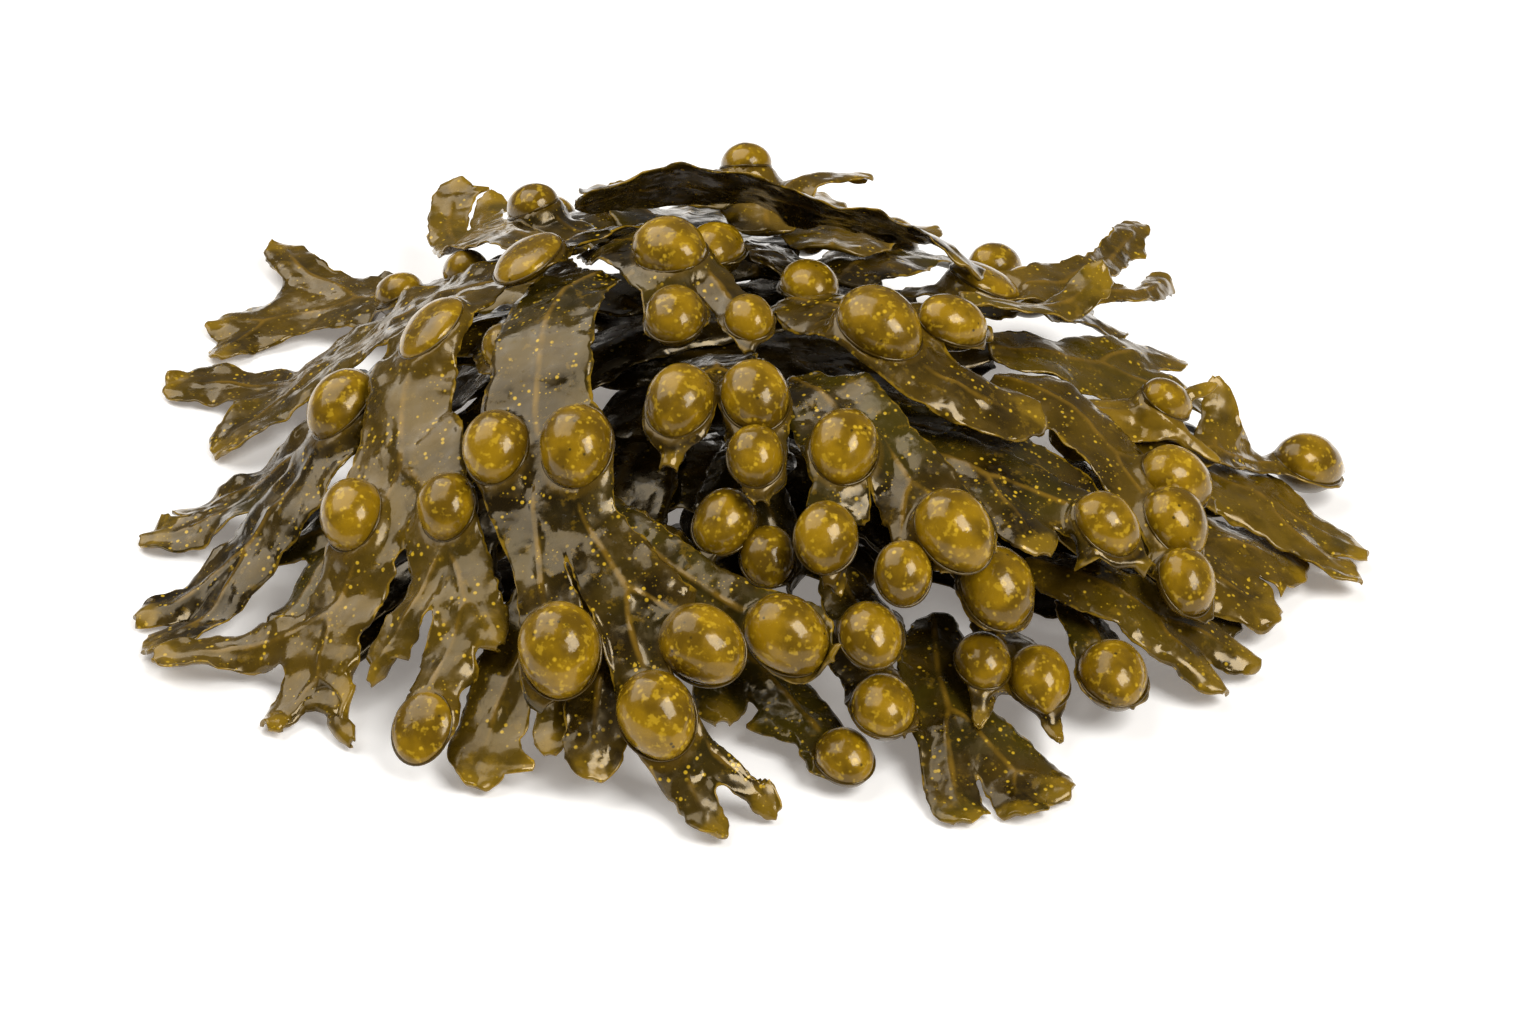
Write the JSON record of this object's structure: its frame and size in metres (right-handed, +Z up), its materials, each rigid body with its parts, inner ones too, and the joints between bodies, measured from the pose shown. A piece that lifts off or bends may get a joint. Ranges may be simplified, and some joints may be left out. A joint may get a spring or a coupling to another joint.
{
  "type": "bladderwrack seaweed clump",
  "caption": "Wet clump of forked, ribbon-like seaweed fronds with round air bladders, lying in a low heap on a flat surface.",
  "frame": {"origin": "middle of the clump's bounding box at the surface it lies on", "axes": "+Z up from the surface, +X along the clump's longest spread, -Y towards the side shown in the picture"},
  "size_m": [0.2162, 0.188, 0.0584],
  "materials": {
    "blade": "gloss",
    "bladder": "gloss"
  },
  "bodies": {
    "root": {"frond_base": "blade", "frond_inner_rear": "blade", "frond_inner_left": "blade", "frond_inner_right": "blade", "frond_inner_centre": "blade", "frond_inner_front": "blade", "frond_inner_front_left": "blade", "frond_inner_front_right": "blade", "frond_inner_right_front": "blade", "frond_inner_crown": "blade", "frond_inner_crown_rear": "blade", "frond_inner_left_rear": "blade", "frond_low_rear_left": "blade", "frond_low_rear_right": "blade", "frond_left_under": "blade", "frond_front_low_left": "blade", "frond_front_strip": "blade", "frond_front_end_low": "blade", "frond_front_ends": "blade", "frond_hollow": "blade", "frond_rear_left_tips": "blade", "frond_left_broad": "blade", "frond_left_upper": "blade", "frond_right_low": "blade", "frond_right_tips": "blade", "frond_shadow": "blade", "frond_front_right_pair": "blade", "frond_front_right_end": "blade", "frond_right_lying": "blade", "frond_left": "blade", "frond_rear_left_raised": "blade", "frond_rear_left": "blade", "frond_rear": "blade", "frond_rear_right": "blade", "frond_right_rear_lying": "blade", "frond_right_broad": "blade", "frond_golden_tips": "blade", "frond_under_bladder": "blade", "frond_curved_edge": "blade", "frond_right_terminal": "blade", "frond_right_chain": "blade", "frond_right_fan": "blade", "frond_front_fan": "blade", "frond_hollow_bladders": "blade", "frond_left_crinkled": "blade", "frond_left_front": "blade", "frond_front_left": "blade", "frond_long_strip": "blade", "frond_centre_right": "blade", "frond_broad_blade": "blade", "frond_centre": "blade", "frond_crown": "blade", "frond_crown_left": "blade", "frond_right_curl": "blade", "frond_right_raised": "blade", "frond_rear_mid_left": "blade", "frond_rear_mid_right": "blade", "frond_crown_rear": "blade", "frond_crown_tips": "blade", "frond_arch": "blade"}
  },
  "joints": []
}
